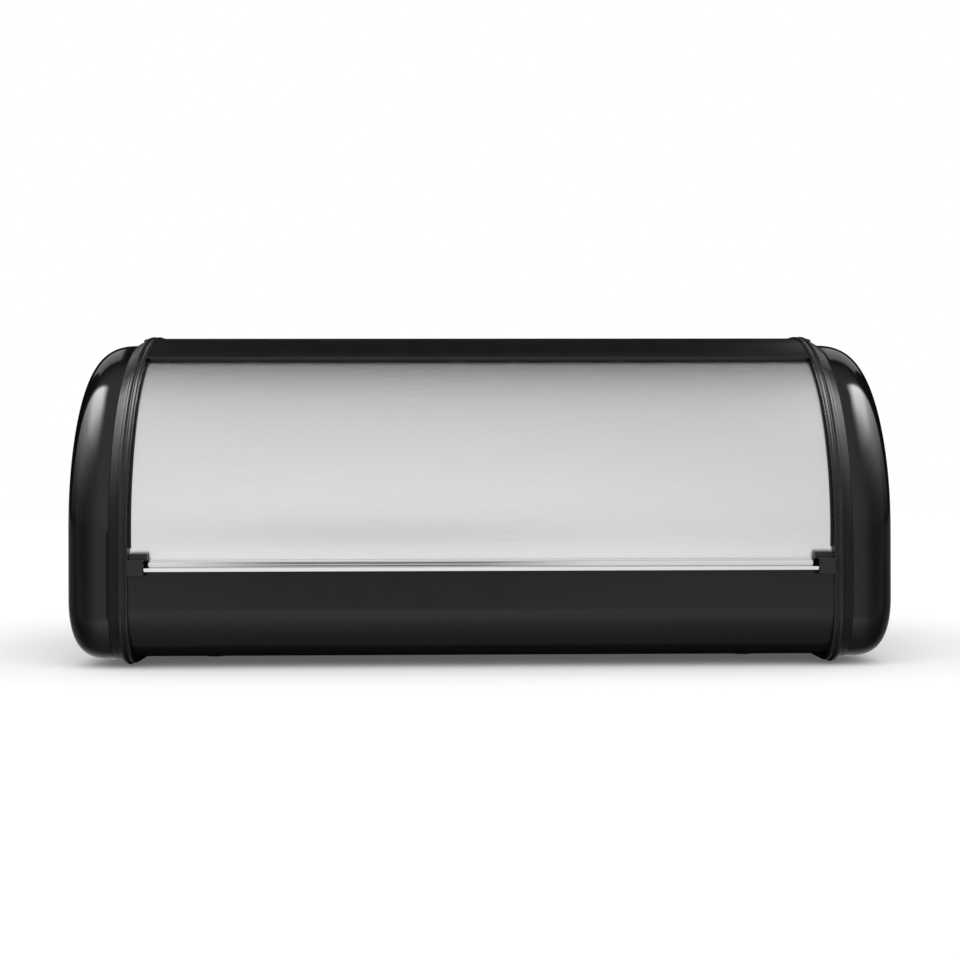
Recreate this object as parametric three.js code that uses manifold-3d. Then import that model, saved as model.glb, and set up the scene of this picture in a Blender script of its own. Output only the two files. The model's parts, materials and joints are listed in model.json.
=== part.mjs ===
// Roll-top bread bin. A bent steel wrap is held between two moulded end frames with domed end caps.
// A curved steel lid turns about the centre of the front arc, on glides that run in a track in each frame.
// Millimetres. X runs along the bin, Y from front to back, Z up. The origin is under the middle, on the
// worktop. "Left" is -X, as seen from the front. Lid angles are in degrees above the pivot, at the front.
import * as THREE from "three";
import { mergeVertices } from "three/addons/utils/BufferGeometryUtils.js";
import Module from "manifold-3d";

// Overall size.
const WIDTH = 445;
const DEPTH = 250;
const HEIGHT = 184;

// Section of the sheet wrap: a large front arc, a rear arc and two bottom corners.
const SHEET = 0.6;
const FRONT_ARC = 111;
const REAR_ARC = 80;
const BOTTOM_ARC = 28;
const BODY_LIFT = 5; // underside of the wrap above the worktop
const SILL_TOP = 53; // top of the front panel, where the opening starts
const SILL_FLANGE = 8; // stiffening flange turned in along the top of the front panel
const STRIP_EDGE = 60; // front edge of the top strip, as a lid angle
const STRIP_LIP = { inner: 108.7, endX: 184.2 }; // the strip's edge is folded in towards the lid
const FOLD = 0.32; // degrees that a fold of the sheet's own thickness takes on the front arc
const JOIN = 0.2; // joined solids run this far into each other
const RIM_PROUD = 1; // the end rims stand this far outside the wrap
const CLIP_PROUD = 6.2; // the handle clips stand this far ahead of the wrap

// End frames and caps, outwards from the frame's inner wall.
const WALL_X = 185.6;
const WEB = 2.4;
const WALL_CLEARANCE = 0.4; // from the wrap's flange to the frame's inner wall
const RING_WIDTH = 8.5; // solid ring round the frame that holds the groove and the track
const SHELL_GROOVE = 3.3; // depth of the groove that holds the wrap's edge
const SHELL_GAP = 0.2;
const CAP_EDGE = 10.9;
const CAP_INSET = 4.2; // the cap's outline sits this far inside the wrap's
const CAP_BOTTOM = 3.5;
const CAP_SKIRT = 2; // straight part before the dome
const DOME_INSET = 26;
const DOME_POWER = 2.6; // 2 is an ellipse, and more is fuller
const DOME_CORNER = 13; // radius of the bottom corners at the top of the dome
const CAP_WALL = 2.2;
const DOME_STEPS = 5;
// The frame's outer surface, inner wall to cap: [distance out, growth over the wrap's outline, bottom].
const FLANGE = [
  [0, 0.6, 1.8],
  [0.4, 0.9, 1.5],
  [1.4, 0.9, 1.5],
  [2, 0.55, 1.9],
  [2.6, 0.55, 1.9],
  [3.2, 0.85, 0.5],
  [4.4, RIM_PROUD, 0],
  [5.6, 0.4, 1],
  [6.1, -0.5, 2.3],
  [6.6, -0.6, 2.5],
  [9.4, -2.2, 2.9],
  [10.6, -2.9, 3.2],
];

// Lid, glides and track.
const LID_OUTER = 108.2;
const LID_SHEET = 0.7;
const LID_LOW = -9;
const LID_HIGH = 66;
const LID_STEPS = 15;
const LID_EDGE_X = 188;
const OPEN_TRAVEL = 60;
const GLIDE = { inner: 106.9, outer: 108.9, from: 184.4, to: 190.8 };
const GLIDE_SLOT = 0.15; // gap on each side of the lid's edge
const TRACK = { inner: 106.5, outer: 109.3, depth: 6 };
const TRACK_END_GAP = 2.5; // degrees left beyond the lid at each end of its travel
const TRACK_WALL = 1.6;
const TRACK_RIB_START = 78; // beyond this lid angle the track leaves the ring and has a wall of its own
const TRIM = { back: 1.5, ahead: 1, slotEnd: 0.1 }; // the rear trim about the lid's edge, in degrees

// Handle rail along the lid's lower edge, and the clips on its ends.
const RAIL = {
  proud: 5.6, // front face ahead of the wrap
  bottom: 52,
  faceTop: 54.1,
  top: 57.9,
  chamfer: 0.6,
  lipTop: 0.4, // thickness of the rail's upper edge
  lidGap: 0.15,
  underside: 53.5, // of the hook that passes over the sill
  hookRadius: 104.6,
  endX: 182.8,
};
const RAIL_GAP = 0.3;
const SOCKET_GAP = 0.2; // between the rail and the clips' sockets
const CLIP_LOW = { from: 176.4, to: 185.2, bottom: 50, top: 57.3 };
const CLIP_HIGH = { from: 175.4, to: 184.9, proud: 0.6, bottom: 56.9, top: 61.6 };

// Screws, the lugs that take them, and feet.
const LUG = { length: 14, width: 14, height: 7.4 };
const LUG_GAP = 0.1; // between a lug and the sheet that is screwed to it
const LUG_SCREW_X = 178;
const BASE_LUGS_Y = [-62, 76];
const BACK_LUGS_Z = [46, 94];
const CAP_SCREWS = [
  [-75, 45],
  [-42, 122],
  [66, 128],
  [84, 42],
];
const SCREW = { head: 3.2, headHeight: 1.6, shank: 1.4, hole: 1.7, seat: 0.05 };
const PANEL_SCREW_LENGTH = 7;
const CAP_SCREW_LENGTH = 14;
const BOSS_RADIUS = 4;
const BOSS_GAP = 0.2; // between a cap's boss and the frame's web
const FOOT = { radius: 7, bevel: 0.8, stem: 2.4, barb: 3.4, hole: 2.7, gap: 0.1, tip: 2 };
const FEET = { x: 150, y: [-45, 88] };

// Steps round each arc.
const FRONT_STEPS = 15;
const REAR_STEPS = 9;
const CORNER_STEPS = 5;
const STRIP_STEPS = 6;
const RIB_STEPS = 11;
const TRACK_STEPS = 28;
const ROUND_SIDES = 10;

const BODY_FRONT = CLIP_PROUD - DEPTH / 2;
const BODY_BACK = DEPTH / 2 - SCREW.headHeight - SCREW.seat; // the screw heads reach furthest back
const BODY_TOP = HEIGHT - RIM_PROUD;
const PIVOT = { y: BODY_FRONT + FRONT_ARC, z: BODY_TOP - FRONT_ARC };
const REAR = { y: BODY_BACK - REAR_ARC, z: BODY_TOP - REAR_ARC };
const LID_STEP = (LID_HIGH - LID_LOW) / LID_STEPS;
const CAP_X = WALL_X + CAP_EDGE;

const gloss = { color: 0x0b0b0c, roughness: 0.12, metalness: 0 };
const satin = { color: 0x17171a, roughness: 0.4, metalness: 0 };
const paint = { color: 0x101012, roughness: 0.25, metalness: 0.1 };
const steel = { color: 0xc9c9cc, roughness: 0.28, metalness: 1 };
const zinc = { color: 0x9a9a98, roughness: 0.35, metalness: 1 };
const rubber = { color: 0x1c1c1c, roughness: 0.85, metalness: 0 };

const wasm = await Module();
wasm.setup();

// ---- Solids ----

function toSolid(geometry) {
  const bare = geometry.clone();
  bare.deleteAttribute("normal");
  bare.deleteAttribute("uv");
  const merged = mergeVertices(bare, 1e-4);
  return new wasm.Manifold(
    new wasm.Mesh({
      numProp: 3,
      vertProperties: new Float32Array(merged.attributes.position.array),
      triVerts: new Uint32Array(merged.index.array),
    }),
  );
}

function toGeometry(solid) {
  const mesh = solid.getMesh();
  const geometry = new THREE.BufferGeometry();
  geometry.setAttribute("position", new THREE.BufferAttribute(mesh.vertProperties, 3));
  geometry.setIndex(new THREE.BufferAttribute(mesh.triVerts, 1));
  geometry.computeVertexNormals();
  return geometry;
}

// The first geometry, with others joined on and then others cut away.
function combine(first, joined, cut) {
  let solid = toSolid(first);
  for (const geometry of joined) solid = solid.add(toSolid(geometry));
  for (const geometry of cut) solid = solid.subtract(toSolid(geometry));
  return toGeometry(solid);
}

// Points on an arc in the Y-Z section; angles turn from +Y towards +Z.
function arc(centre, radius, from, to, steps) {
  return Array.from({ length: steps + 1 }, (_, i) => {
    const angle = THREE.MathUtils.degToRad(from + ((to - from) * i) / steps);
    return new THREE.Vector2(
      centre.y + radius * Math.cos(angle),
      centre.z + radius * Math.sin(angle),
    );
  });
}

// A section in Y-Z drawn out along X.
function slab(points, fromX, toX) {
  const geometry = new THREE.ExtrudeGeometry(new THREE.Shape(points), {
    depth: toX - fromX,
    bevelEnabled: false,
  });
  const along = new THREE.Matrix4().makeBasis(
    new THREE.Vector3(0, 1, 0),
    new THREE.Vector3(0, 0, 1),
    new THREE.Vector3(1, 0, 0),
  );
  return geometry.applyMatrix4(along).translate(fromX, 0, 0);
}

function block(fromX, toX, fromY, toY, fromZ, toZ) {
  const geometry = new THREE.BoxGeometry(toX - fromX, toY - fromY, toZ - fromZ);
  return geometry.translate((fromX + toX) / 2, (fromY + toY) / 2, (fromZ + toZ) / 2);
}

// A rod from one point to another, both [x, y, z], along a main axis.
function rod(radius, start, end) {
  const a = new THREE.Vector3(...start);
  const b = new THREE.Vector3(...end);
  const turn = new THREE.Quaternion().setFromUnitVectors(
    new THREE.Vector3(0, 1, 0),
    b.clone().sub(a).normalize(),
  );
  const geometry = new THREE.CylinderGeometry(radius, radius, a.distanceTo(b), ROUND_SIDES);
  return geometry.applyQuaternion(turn).translate(...a.add(b).multiplyScalar(0.5));
}

// A closed skin over sections of equal point count, given as {x, points} in order of rising x.
function loft(sections) {
  const count = sections[0].points.length;
  const positions = sections.flatMap(({ x, points }) => points.flatMap((p) => [x, p.x, p.y]));
  const index = [];
  for (let s = 0; s + 1 < sections.length; s++) {
    for (let i = 0; i < count; i++) {
      const a = s * count + i;
      const b = s * count + ((i + 1) % count);
      index.push(a, b, b + count, a, b + count, a + count);
    }
  }
  const last = (sections.length - 1) * count;
  for (const [a, b, c] of THREE.ShapeUtils.triangulateShape(sections[0].points, [])) {
    index.push(c, b, a);
  }
  for (const [a, b, c] of THREE.ShapeUtils.triangulateShape(sections.at(-1).points, [])) {
    index.push(last + a, last + b, last + c);
  }
  const geometry = new THREE.BufferGeometry();
  geometry.setAttribute("position", new THREE.Float32BufferAttribute(positions, 3));
  geometry.setIndex(index);
  return geometry;
}

// ---- Sections ----

// The bin's closed outline, grown outwards and ending at its own bottom height. Anticlockwise from +X.
function outline(grow, bottom, corner = BOTTOM_ARC + grow) {
  const front = { y: BODY_FRONT - grow + corner, z: bottom + corner };
  const back = { y: BODY_BACK + grow - corner, z: bottom + corner };
  return [
    ...arc(REAR, REAR_ARC + grow, 0, 90, REAR_STEPS),
    ...arc(PIVOT, FRONT_ARC + grow, 90, 180, FRONT_STEPS),
    ...arc(front, corner, 180, 270, CORNER_STEPS),
    ...arc(back, corner, 270, 360, CORNER_STEPS),
  ];
}

// The open line of the wrap: down the front panel, under, up the back and over to the strip's edge.
// It can run on past both ends, by a length at the sill and as many degrees at the strip.
function wrapLine(grow, runOn = 0) {
  const corner = BOTTOM_ARC + grow;
  const low = BODY_LIFT - grow + corner;
  return [
    new THREE.Vector2(BODY_FRONT - grow, SILL_TOP + runOn),
    ...arc({ y: BODY_FRONT - grow + corner, z: low }, corner, 180, 270, CORNER_STEPS),
    ...arc({ y: BODY_BACK + grow - corner, z: low }, corner, 270, 360, CORNER_STEPS),
    ...arc(REAR, REAR_ARC + grow, 0, 90, REAR_STEPS),
    ...arc(PIVOT, FRONT_ARC + grow, 90, 180 - STRIP_EDGE + runOn, STRIP_STEPS),
  ];
}

function band(outerLine, innerLine) {
  return [...outerLine, ...innerLine.reverse()];
}

// Part of a ring about the pivot, between two lid angles.
function ringPart(inner, outer, fromAngle, toAngle, steps) {
  return band(
    arc(PIVOT, outer, 180 - fromAngle, 180 - toAngle, steps),
    arc(PIVOT, inner, 180 - fromAngle, 180 - toAngle, steps),
  );
}

// The rail: a flat front face, a hollow that sweeps up to the lid, and a hook under the lid's edge.
function railSection(grow) {
  const front = BODY_FRONT - RAIL.proud - grow;
  const lidFace = (z) => PIVOT.y - Math.sqrt((LID_OUTER + RAIL.lidGap) ** 2 - (z - PIVOT.z) ** 2);
  const top = RAIL.top + grow;
  const hollow = { y: front + RAIL.chamfer, z: RAIL.faceTop + RAIL.chamfer / 3 + grow };
  const reach = lidFace(top) - RAIL.lipTop - hollow.y;
  const sweep = [0, 30, 50, 70, 90].map((degrees) => {
    const angle = THREE.MathUtils.degToRad(degrees);
    return new THREE.Vector2(
      hollow.y + reach * Math.sin(angle),
      hollow.z + (top - hollow.z) * (1 - Math.cos(angle)),
    );
  });
  const lidEdge = PIVOT.z + LID_OUTER * Math.sin(THREE.MathUtils.degToRad(LID_LOW));
  const hookTop = lidEdge - RAIL.lidGap;
  const hookBack = PIVOT.y - RAIL.hookRadius + grow;
  const lip = BODY_FRONT - RAIL_GAP + grow;
  return [
    new THREE.Vector2(front, RAIL.bottom - grow),
    new THREE.Vector2(front, RAIL.faceTop + grow),
    ...sweep,
    new THREE.Vector2(lidFace(top), top),
    new THREE.Vector2(lidFace(hookTop), hookTop),
    new THREE.Vector2(hookBack, hookTop),
    new THREE.Vector2(hookBack, RAIL.underside - grow),
    new THREE.Vector2(lip, RAIL.underside - grow),
    new THREE.Vector2(lip, RAIL.bottom - grow),
  ];
}

// ---- Body ----

function bodyWrap() {
  const wrapEnd = WALL_X + SHELL_GROOVE - SHELL_GAP;
  const insideX = WALL_X - WALL_CLEARANCE;
  const sheet = slab(band(wrapLine(0), wrapLine(-SHEET)), -wrapEnd, wrapEnd);
  const flange = block(
    -insideX,
    insideX,
    BODY_FRONT + SHEET - JOIN,
    BODY_FRONT + SILL_FLANGE,
    SILL_TOP - SHEET,
    SILL_TOP,
  );
  const lip = slab(
    ringPart(STRIP_LIP.inner, FRONT_ARC - SHEET + JOIN, STRIP_EDGE, STRIP_EDGE + FOLD, 1),
    -STRIP_LIP.endX,
    STRIP_LIP.endX,
  );
  const upThrough = (radius, x, y) => rod(radius, [x, y, BODY_LIFT - 1], [x, y, BODY_LIFT + 2]);
  const backThrough = (radius, x, z) => rod(radius, [x, BODY_BACK - 2, z], [x, BODY_BACK + 1, z]);
  const holes = [-1, 1].flatMap((side) => [
    ...BASE_LUGS_Y.map((y) => upThrough(SCREW.hole, side * LUG_SCREW_X, y)),
    ...BACK_LUGS_Z.map((z) => backThrough(SCREW.hole, side * LUG_SCREW_X, z)),
    ...FEET.y.map((y) => upThrough(FOOT.hole, side * FEET.x, y)),
  ]);
  return combine(sheet, [flange, lip], holes);
}

// The lugs inside the frame that the wrap is screwed to.
function lugs() {
  const inX = WALL_X - LUG.length;
  const half = LUG.width / 2;
  const floor = BODY_LIFT + SHEET + LUG_GAP;
  const back = BODY_BACK - SHEET - LUG_GAP;
  return [
    ...BASE_LUGS_Y.map((y) => block(inX, WALL_X + 1, y - half, y + half, floor, floor + LUG.height)),
    ...BACK_LUGS_Z.map((z) => block(inX, WALL_X + 1, back - LUG.height, back, z - half, z + half)),
  ];
}

function endFrame() {
  const flange = loft(
    FLANGE.map(([out, grow, bottom]) => ({ x: WALL_X + out, points: outline(grow, bottom) })),
  );
  const outerX = WALL_X + FLANGE.at(-1)[0];
  const webX = WALL_X + WEB;
  const pocket = slab(outline(-RING_WIDTH, CAP_BOTTOM + 4), webX, outerX + 1);
  const trackEnd = LID_HIGH + OPEN_TRAVEL + TRACK_END_GAP;
  const trackRib = slab(
    ringPart(TRACK.inner - TRACK_WALL, TRACK.outer + TRACK_WALL, TRACK_RIB_START, trackEnd + 1, RIB_STEPS),
    webX - 1,
    WALL_X + TRACK.depth + TRACK_WALL,
  );
  const track = slab(
    ringPart(TRACK.inner, TRACK.outer, LID_LOW - TRACK_END_GAP, trackEnd, TRACK_STEPS),
    WALL_X - 1,
    WALL_X + TRACK.depth,
  );
  const groove = slab(
    band(wrapLine(SHELL_GAP, SHELL_GAP), wrapLine(-SHEET - SHELL_GAP, SHELL_GAP)),
    WALL_X - 1,
    WALL_X + SHELL_GROOVE,
  );
  const insideZ = BODY_LIFT + LUG.height;
  const insideY = BODY_BACK - LUG.height;
  const holes = [
    ...BASE_LUGS_Y.map((y) => rod(SCREW.hole, [LUG_SCREW_X, y, BODY_LIFT], [LUG_SCREW_X, y, insideZ])),
    ...BACK_LUGS_Z.map((z) => rod(SCREW.hole, [LUG_SCREW_X, insideY, z], [LUG_SCREW_X, BODY_BACK, z])),
    ...CAP_SCREWS.map(([y, z]) => rod(SCREW.hole, [WALL_X - 1, y, z], [webX + 1, y, z])),
  ];
  const hollowed = toGeometry(toSolid(flange).subtract(toSolid(pocket)));
  return combine(hollowed, [trackRib, ...lugs()], [groove, track, ...holes]);
}

// The dome's sections. The wall moves the surface inwards, for the hollow behind it.
function domeSections(wall, startX) {
  const domeX = CAP_X + CAP_SKIRT;
  const rise = WIDTH / 2 - domeX - wall;
  const inset = DOME_INSET - wall;
  const skirtCorner = BOTTOM_ARC - CAP_INSET - wall;
  const sections = [{ x: startX, points: outline(-CAP_INSET - wall, CAP_BOTTOM + wall) }];
  for (let i = 0; i <= DOME_STEPS; i++) {
    const angle = (Math.PI / 2) * (i / DOME_STEPS);
    const share = 1 - Math.cos(angle) ** (2 / DOME_POWER);
    const into = wall + inset * share;
    const corner = THREE.MathUtils.lerp(skirtCorner, DOME_CORNER, share);
    sections.push({
      x: domeX + rise * Math.sin(angle) ** (2 / DOME_POWER),
      points: outline(-CAP_INSET - into, CAP_BOTTOM + into, corner),
    });
  }
  return sections;
}

function endCap() {
  const bossStart = WALL_X + WEB + BOSS_GAP;
  const bosses = CAP_SCREWS.map(([y, z]) =>
    rod(BOSS_RADIUS, [bossStart, y, z], [WIDTH / 2 - CAP_WALL / 2, y, z]),
  );
  const pilots = CAP_SCREWS.map(([y, z]) =>
    rod(SCREW.hole, [bossStart - 1, y, z], [bossStart + CAP_SCREW_LENGTH, y, z]),
  );
  const dome = loft(domeSections(0, CAP_X));
  const hollow = loft(domeSections(CAP_WALL, CAP_X - 1));
  const shell = toGeometry(toSolid(dome).subtract(toSolid(hollow)));
  return combine(shell, bosses, pilots);
}

// A pan-head screw along +Y, its seat at the origin and its shank below.
function screw(length) {
  const { head, headHeight, shank } = SCREW;
  const tip = 1.2;
  const profile = [
    [0, -length],
    [shank / 2, -length],
    [shank, tip - length],
    [shank, 0],
    [head, 0],
    [head, headHeight / 2],
    [head * 0.7, headHeight],
    [0, headHeight],
  ];
  return new THREE.LatheGeometry(
    profile.map(([r, y]) => new THREE.Vector2(r, y)),
    ROUND_SIDES,
  );
}

// A rubber foot, pushed up through the wrap and held by its barb.
function foot() {
  const seat = BODY_LIFT - FOOT.gap;
  const barb = BODY_LIFT + SHEET + FOOT.gap;
  const profile = [
    [0, 0],
    [FOOT.radius - FOOT.bevel, 0],
    [FOOT.radius, FOOT.bevel],
    [FOOT.radius - FOOT.bevel, seat],
    [FOOT.stem, seat],
    [FOOT.stem, barb],
    [FOOT.barb, barb],
    [FOOT.stem - FOOT.bevel, barb + FOOT.tip],
    [0, barb + FOOT.tip],
  ];
  return new THREE.LatheGeometry(
    profile.map(([r, y]) => new THREE.Vector2(r, y)),
    ROUND_SIDES,
  );
}

// ---- Lid ----

function lidSheet() {
  const section = ringPart(LID_OUTER - LID_SHEET, LID_OUTER, LID_LOW, LID_HIGH, LID_STEPS);
  return slab(section, -LID_EDGE_X, LID_EDGE_X);
}

// The space that the lid's sheet takes inside an edge piece, one lid step longer at each end.
function lidSlot(fromX, toX) {
  const section = ringPart(
    LID_OUTER - LID_SHEET - GLIDE_SLOT,
    LID_OUTER + GLIDE_SLOT,
    LID_LOW - LID_STEP,
    LID_HIGH + LID_STEP,
    LID_STEPS + 2,
  );
  return slab(section, fromX, toX);
}

function lidGlide() {
  const section = ringPart(
    GLIDE.inner,
    GLIDE.outer,
    LID_LOW + LID_STEP,
    LID_HIGH,
    LID_STEPS - 1,
  );
  const strip = slab(section, GLIDE.from, GLIDE.to);
  return combine(strip, [], [lidSlot(GLIDE.from - 1, LID_EDGE_X + GLIDE_SLOT)]);
}

function lidRearTrim() {
  const endX = GLIDE.from - SOCKET_GAP;
  const from = LID_HIGH - TRIM.back;
  const strip = ringPart(GLIDE.inner, GLIDE.outer, from, LID_HIGH + TRIM.ahead, 1);
  const slot = ringPart(
    LID_OUTER - LID_SHEET - GLIDE_SLOT,
    LID_OUTER + GLIDE_SLOT,
    from - 1,
    LID_HIGH + TRIM.slotEnd,
    1,
  );
  return combine(slab(strip, -endX, endX), [], [slab(slot, -endX - 1, endX + 1)]);
}

function handleClip() {
  const front = BODY_FRONT - CLIP_PROUD;
  const low = block(
    CLIP_LOW.from,
    CLIP_LOW.to,
    front,
    BODY_FRONT - RAIL_GAP,
    CLIP_LOW.bottom,
    CLIP_LOW.top,
  );
  const lidFront = PIVOT.y - LID_OUTER;
  const high = block(
    CLIP_HIGH.from,
    CLIP_HIGH.to,
    BODY_FRONT - CLIP_HIGH.proud,
    lidFront + SOCKET_GAP,
    CLIP_HIGH.bottom,
    CLIP_HIGH.top,
  );
  const socket = slab(railSection(SOCKET_GAP), CLIP_HIGH.from - 1, RAIL.endX + SOCKET_GAP);
  return combine(low, [high], [socket]);
}

// ---- Assembly ----

function add(group, name, geometry, look) {
  const mesh = new THREE.Mesh(geometry, new THREE.MeshStandardMaterial(look));
  mesh.name = name;
  group.add(mesh);
  return mesh;
}

// A screw at a point [x, y, z], turned so that its head faces the given direction.
function addScrew(group, name, length, at, facing) {
  const mesh = add(group, name, screw(length), zinc);
  mesh.position.set(...at);
  mesh.quaternion.setFromUnitVectors(new THREE.Vector3(0, 1, 0), new THREE.Vector3(...facing));
}

function bodySide(side) {
  const group = new THREE.Group();
  add(group, `end_frame_${side}`, endFrame(), satin);
  add(group, `end_cap_${side}`, endCap(), gloss);
  BASE_LUGS_Y.forEach((y, i) => {
    const at = [LUG_SCREW_X, y, BODY_LIFT - SCREW.seat];
    addScrew(group, `base_screw_${side}_${i + 1}`, PANEL_SCREW_LENGTH, at, [0, 0, -1]);
  });
  BACK_LUGS_Z.forEach((z, i) => {
    const at = [LUG_SCREW_X, BODY_BACK + SCREW.seat, z];
    addScrew(group, `back_screw_${side}_${i + 1}`, PANEL_SCREW_LENGTH, at, [0, 1, 0]);
  });
  CAP_SCREWS.forEach(([y, z], i) => {
    const at = [WALL_X - SCREW.seat, y, z];
    addScrew(group, `cap_screw_${side}_${i + 1}`, CAP_SCREW_LENGTH, at, [-1, 0, 0]);
  });
  FEET.y.forEach((y, i) => {
    const mesh = add(group, `foot_${side}_${["front", "rear"][i]}`, foot(), rubber);
    mesh.position.set(FEET.x, y, 0);
    mesh.rotation.x = Math.PI / 2;
  });
  return group;
}

function lidSide(side) {
  const group = new THREE.Group();
  add(group, `lid_glide_${side}`, lidGlide(), satin);
  add(group, `handle_clip_${side}`, handleClip(), satin);
  return group;
}

// The left side is the mirror image of the right.
function bothSides(parent, makeSide) {
  parent.add(makeSide("right"));
  const left = makeSide("left");
  left.scale.x = -1;
  parent.add(left);
}

const breadBin = new THREE.Group();

const body = new THREE.Group();
add(body, "body_wrap", bodyWrap(), paint);
bothSides(body, bodySide);
breadBin.add(body);

const lid = new THREE.Group();
add(lid, "lid_sheet", lidSheet(), steel);
add(lid, "handle_rail", slab(railSection(0), -RAIL.endX, RAIL.endX), steel);
add(lid, "lid_rear_trim", lidRearTrim(), satin);
bothSides(lid, lidSide);
breadBin.add(lid);

export default breadBin;
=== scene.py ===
"""Looks of a roll-top bread bin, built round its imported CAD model. Metres, +Z up, front towards -Y."""
import json
import math

import bmesh
import bpy
from mathutils import Matrix, Vector


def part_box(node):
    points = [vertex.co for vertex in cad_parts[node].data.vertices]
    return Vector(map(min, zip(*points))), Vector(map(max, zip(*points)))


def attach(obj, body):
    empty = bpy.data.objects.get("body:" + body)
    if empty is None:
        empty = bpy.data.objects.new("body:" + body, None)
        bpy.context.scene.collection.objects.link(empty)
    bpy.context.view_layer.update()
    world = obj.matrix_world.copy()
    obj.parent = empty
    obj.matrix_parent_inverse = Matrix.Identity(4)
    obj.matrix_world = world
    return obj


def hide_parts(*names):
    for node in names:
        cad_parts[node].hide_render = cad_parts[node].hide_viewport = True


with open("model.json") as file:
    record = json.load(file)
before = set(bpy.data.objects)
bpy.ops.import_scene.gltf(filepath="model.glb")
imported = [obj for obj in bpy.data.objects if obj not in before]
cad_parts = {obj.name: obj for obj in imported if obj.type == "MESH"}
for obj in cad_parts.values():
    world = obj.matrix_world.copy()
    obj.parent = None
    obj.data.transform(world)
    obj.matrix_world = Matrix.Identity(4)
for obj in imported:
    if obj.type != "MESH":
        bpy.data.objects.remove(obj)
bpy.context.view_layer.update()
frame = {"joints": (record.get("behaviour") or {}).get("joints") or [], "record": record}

MM = 0.001

# ---- Sizes taken from the frame ----

wrap_low, wrap_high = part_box("body_wrap")
cap_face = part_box("end_cap_right")[1].x
lid_low, lid_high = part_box("lid_sheet")
rail_low, rail_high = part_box("handle_rail")
clip_low, clip_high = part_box("handle_clip_right")
glide_low, glide_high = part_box("lid_glide_right")
trim_low, trim_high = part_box("lid_rear_trim")

PIVOT = Vector(frame["joints"][0]["pos_m"]).yz
BODY_FRONT = wrap_low.y
BODY_BACK = wrap_high.y
BODY_TOP = wrap_high.z
BODY_LIFT = wrap_low.z
WRAP_END = wrap_high.x
FRONT_ARC = BODY_TOP - PIVOT.y
LID_OUTER = PIVOT.x - lid_low.y
LID_EDGE_X = lid_high.x

# ---- Sizes of the design ----

SHEET = 0.6 * MM
REAR_ARC = 80 * MM
BOTTOM_ARC = 28 * MM
SILL_TOP = 53 * MM
SILL_FLANGE = 8 * MM
STRIP_EDGE = 60  # degrees
LIP_RADIUS = 108.7 * MM
LIP_END_X = 184.2 * MM
WALL_X = 185.6 * MM
WALL_CLEARANCE = 0.4 * MM
WEB = 2.4 * MM
RING_WIDTH = 8.5 * MM
GROOVE_DEPTH = 3.3 * MM
GROOVE_GAP = 0.2 * MM
CAP_EDGE = 10.9 * MM
CAP_INSET = 4.2 * MM
CAP_BOTTOM = 3.5 * MM
CAP_SKIRT = 2 * MM
CAP_WALL = 2.2 * MM
DOME_INSET = 26 * MM
DOME_POWER = 2.6  # 2 is an ellipse, and more is fuller
DOME_CORNER = 13 * MM  # radius of the bottom corners at the top of the dome
LID_SHEET = 0.7 * MM
LID_LOW = -9  # degrees
LID_HIGH = 66
OPEN_TRAVEL = 60
GLIDE_INNER = 106.9 * MM
GLIDE_OUTER = 108.9 * MM
GLIDE_SLOT = 0.15 * MM  # gap on each side of the lid's edge
GLIDE_START = -4  # degrees
TRACK_INNER = 106.5 * MM
TRACK_OUTER = 109.3 * MM
TRACK_DEPTH = 6 * MM
TRACK_WALL = 1.6 * MM
TRACK_END_GAP = 2.5  # degrees
TRACK_RIB_START = 78  # beyond this lid angle the track has a wall of its own
RAIL_BOTTOM = 52.35 * MM
RAIL_GAP = 0.3 * MM  # between the rail and what it fits round
RAIL_UNDERSIDE = 53.5 * MM  # of the hook that passes over the sill
RAIL_HOLLOW = 1.9 * MM  # depth of the rail's hollow from the lid's face
CLIP_LOW_FROM = 176.4 * MM
CLIP_LOW_TOP = 58.4 * MM  # over the rail's top edge
CLIP_TAB_BOTTOM = 56.9 * MM
CLIP_TAB_PROUD = 0.6 * MM
SOCKET_GAP = 0.2 * MM
LUG = 14 * MM
LUG_HEIGHT = 7.4 * MM
LUG_GAP = 0.1 * MM
SCREW_HOLE = 1.7 * MM
SCREW_SHANK = 1.4 * MM
SCREW_HEAD = 3.2 * MM
SCREW_HEAD_HEIGHT = 1.6 * MM
FOOT_HOLE = 2.7 * MM

# Surface of the end frame, from its inner wall to the cap, in millimetres:
# distance out, growth over the wrap's outline, bottom height.
FLANGE = [
    (0, 0.6, 1.8),
    (0.4, 0.9, 1.5),
    (1.4, 0.9, 1.5),
    (2, 0.55, 1.9),
    (2.6, 0.55, 1.9),
    (3.2, 0.85, 0.5),
    (4.4, 1, 0),
    (5.6, 0.4, 1),
    (6.1, -0.5, 2.3),
    (6.6, -0.6, 2.5),
    (9.4, -2.2, 2.9),
    (10.6, -2.9, 3.2),
]

# Rounding of edges, and steps round each arc.
CROWN = 0.4 * MM  # the cap's face rises this far towards its middle
CROWN_STEPS = 6
DOME_STEPS = 28
CAP_EDGE_ROUND = 0.5 * MM
FOLD_ROUND = 0.9 * MM
FRAME_ROUND = 0.35 * MM
LUG_ROUND = 0.4 * MM
CLIP_ROUND = 0.5 * MM
FRONT_STEPS = 48
REAR_STEPS = 30
CORNER_STEPS = 14
STRIP_STEPS = 18
LID_STEPS = 60
TRACK_STEPS = 96

REAR = Vector((BODY_BACK - REAR_ARC, BODY_TOP - REAR_ARC))
CAP_X = WALL_X + CAP_EDGE
SIDES = ("right", "left")


# ---- Camera and lights ----

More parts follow.
